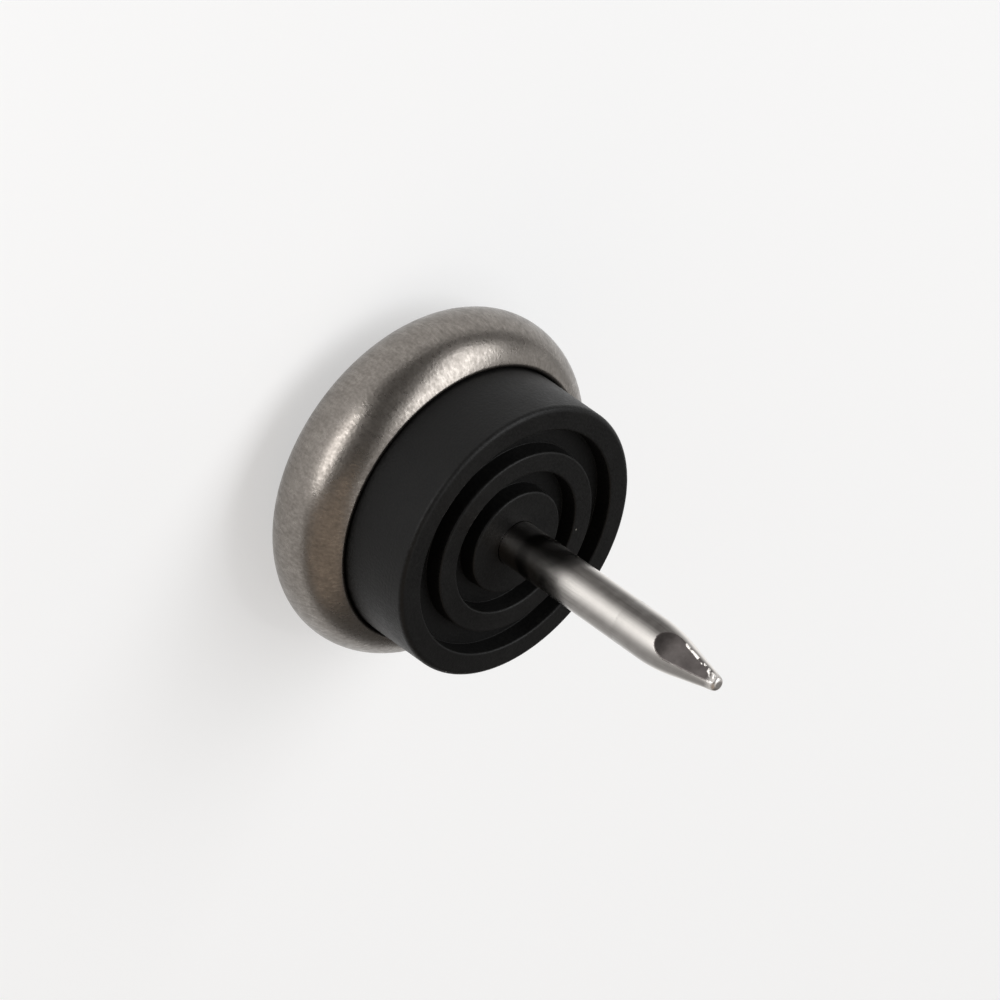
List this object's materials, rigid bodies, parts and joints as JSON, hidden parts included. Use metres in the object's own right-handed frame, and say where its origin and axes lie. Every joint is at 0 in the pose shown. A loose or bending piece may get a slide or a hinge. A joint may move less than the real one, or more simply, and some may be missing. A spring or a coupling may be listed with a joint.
{
  "type": "nail-on furniture glide",
  "caption": "Round nail-on furniture glide: domed satin steel cap with a rolled rim over a black plastic body, and a steel nail that is driven into the end of a chair or table leg.",
  "frame": {"origin": "lowest point of the dome, on the axis, where the glide touches the floor", "axes": "+Z along the nail, away from the floor and into the leg; the two flats of the nail's point face +X and -X"},
  "size_m": [0.02, 0.02, 0.0262],
  "materials": {
    "satin_steel": "satin, with a fine tumbled grain",
    "black_plastic": "satin moulded",
    "bright_steel": "bright drawn wire"
  },
  "bodies": {
    "root": {"steel_cap": "satin_steel", "plastic_body": "black_plastic", "nail": "bright_steel"}
  },
  "joints": []
}
